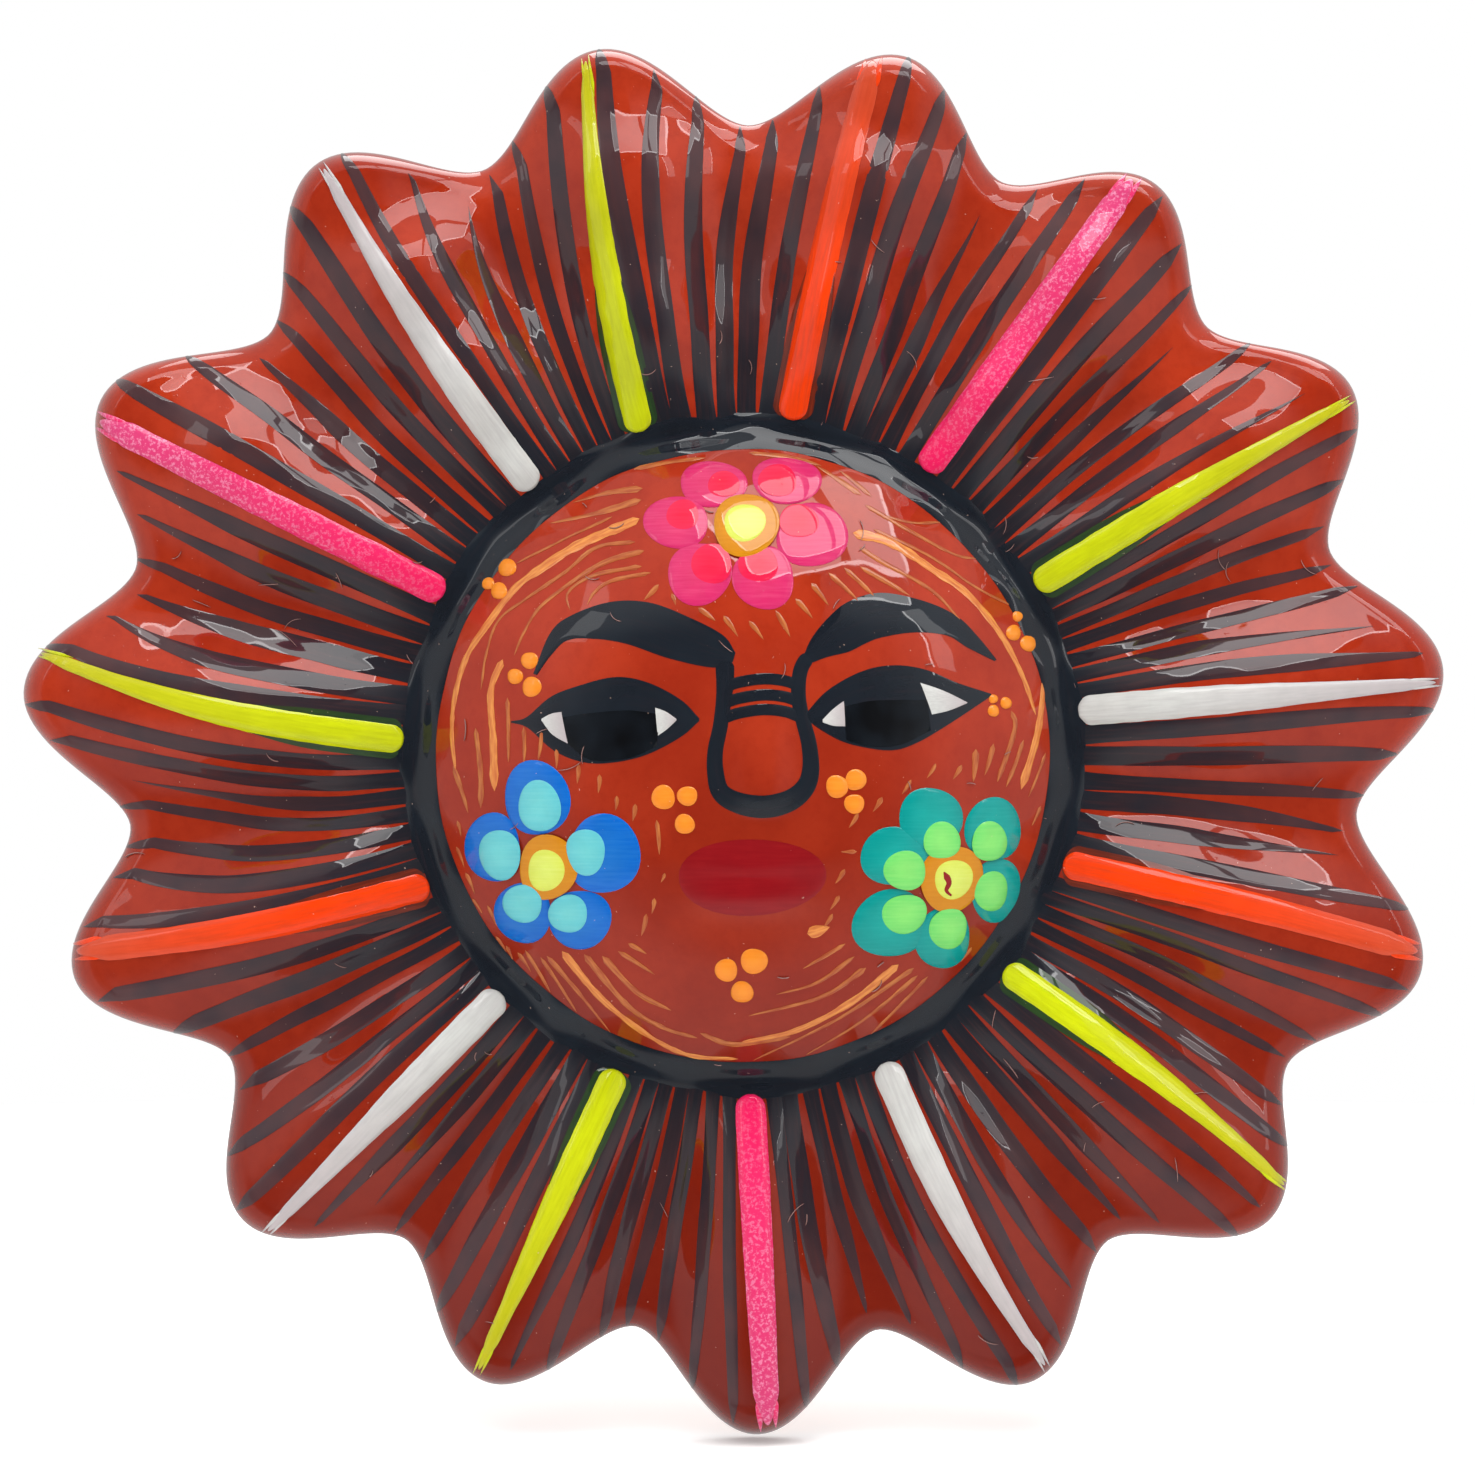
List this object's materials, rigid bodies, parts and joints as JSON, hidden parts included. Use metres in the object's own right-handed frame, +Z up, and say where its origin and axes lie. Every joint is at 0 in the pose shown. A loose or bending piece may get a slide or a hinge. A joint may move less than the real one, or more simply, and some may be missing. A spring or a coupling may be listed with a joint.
{
  "type": "clay sun face wall plaque",
  "caption": "Wall plaque shaped as a sun: a ring of fluted clay rays around a hollow domed face, with raised painted strokes, flowers and dots, and a swinging wire bail behind.",
  "frame": {"origin": "on the axis of the face, in the plane of the flat back that lies against the wall", "axes": "+Z up the wall, +Y into the wall, the painted front faces -Y, +X to the right as seen from the front"},
  "size_m": [0.1105, 0.0179, 0.1078],
  "materials": {
    "painted_clay": "gloss",
    "bare_clay": "matte",
    "black_slip": "gloss",
    "wire": "satin",
    "white_paint": "gloss",
    "yellow_paint": "gloss",
    "pink_paint": "gloss",
    "orange_paint": "gloss",
    "petal_pink": "gloss",
    "dab_pink": "gloss",
    "petal_blue": "gloss",
    "dab_cyan": "gloss",
    "petal_teal": "gloss",
    "dab_green": "gloss",
    "ochre_paint": "gloss",
    "core_yellow": "gloss",
    "dot_orange": "gloss"
  },
  "bodies": {
    "plaque": {"ray_disc": "painted_clay", "face_dome": "painted_clay", "luting_ring": "black_slip", "hanger_lug_left": "bare_clay", "hanger_lug_right": "bare_clay", "white_strokes": "white_paint", "yellow_strokes": "yellow_paint", "pink_strokes": "pink_paint", "orange_strokes": "orange_paint", "pink_petals": "petal_pink", "pink_dabs": "dab_pink", "blue_petals": "petal_blue", "cyan_dabs": "dab_cyan", "teal_petals": "petal_teal", "green_dabs": "dab_green", "flower_eyes": "ochre_paint", "flower_cores": "core_yellow", "orange_dots": "dot_orange"},
    "bail": {"hanger_bail": "wire"}
  },
  "joints": [
    {"name": "bail_hinge", "type": "hinge", "parent": "plaque", "child": "bail", "pos_m": [0, -0.0035, 0.008], "axis": [1, 0, 0], "range_deg": [-65, 200]}
  ]
}
